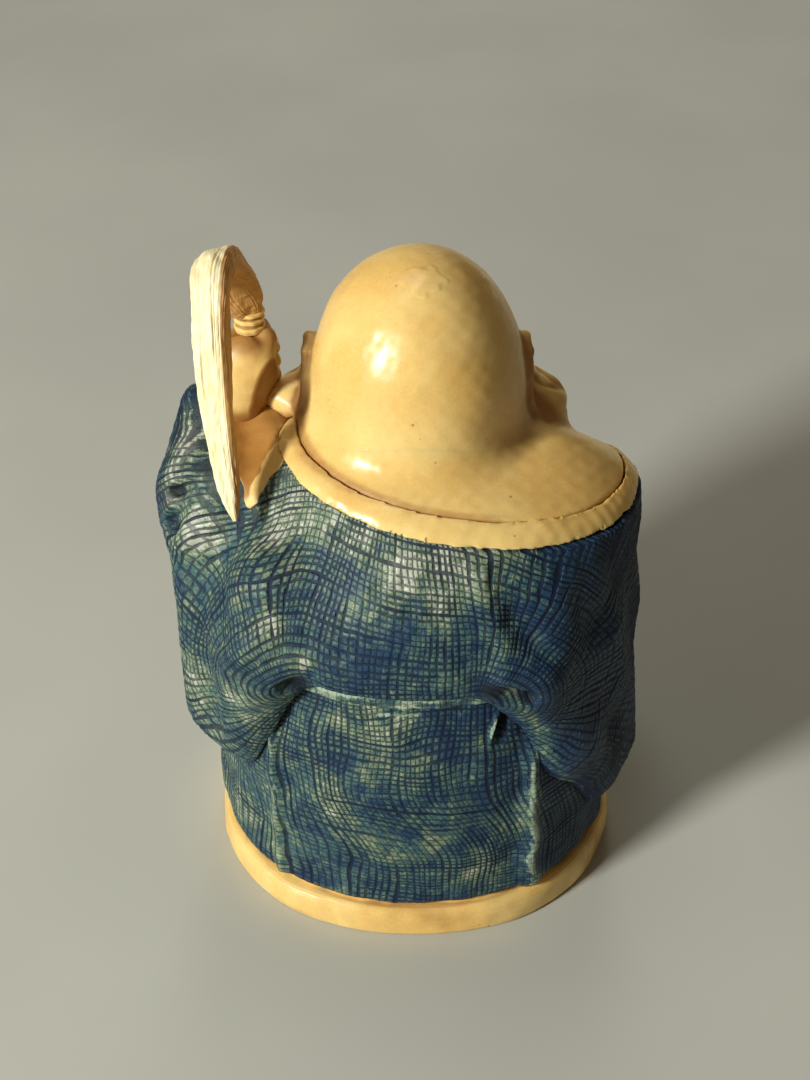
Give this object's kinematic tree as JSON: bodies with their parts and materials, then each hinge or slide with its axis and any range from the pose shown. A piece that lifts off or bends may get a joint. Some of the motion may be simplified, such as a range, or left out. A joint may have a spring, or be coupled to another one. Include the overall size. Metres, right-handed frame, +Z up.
{
  "type": "daruma doll",
  "caption": "Small standing figure of a bald, bearded monk in a cross-hatched blue robe with a bare right shoulder, raising a fly whisk, on a low oval plinth.",
  "frame": {"origin": "centre of the plinth's underside", "axes": "+Z up, -Y the way the figure faces, +X towards the figure's left hand, which holds the whisk"},
  "size_m": [0.0476, 0.0392, 0.0639],
  "materials": {
    "ivory": "polished, honey-cream, stained darker in the hollows",
    "dyed_robe": "incised cross-hatching under a worn blue-black dye",
    "peg_wood": "plain bamboo dowel",
    "eye_horn": "polished dark horn",
    "whisk_hair": "fine carved strands, pale, brown in the grooves"
  },
  "bodies": {
    "root": {"plinth": "ivory", "plinth_pegs": "peg_wood", "skirt": "dyed_robe", "sash": "dyed_robe", "waist_pegs": "peg_wood", "upper_robe": "dyed_robe", "left_sleeve": "dyed_robe", "right_sleeve": "dyed_robe", "sleeve_pegs": "peg_wood", "collar": "ivory", "shoulders": "ivory", "shoulder_peg": "peg_wood", "neck_peg": "peg_wood", "head": "ivory", "left_eye": "eye_horn", "right_eye": "eye_horn", "left_hand": "ivory", "left_wrist_peg": "peg_wood", "right_hand": "ivory", "right_wrist_peg": "peg_wood", "whisk_handle": "ivory", "whisk_ferrule": "ivory", "whisk_hair": "whisk_hair"}
  },
  "joints": []
}
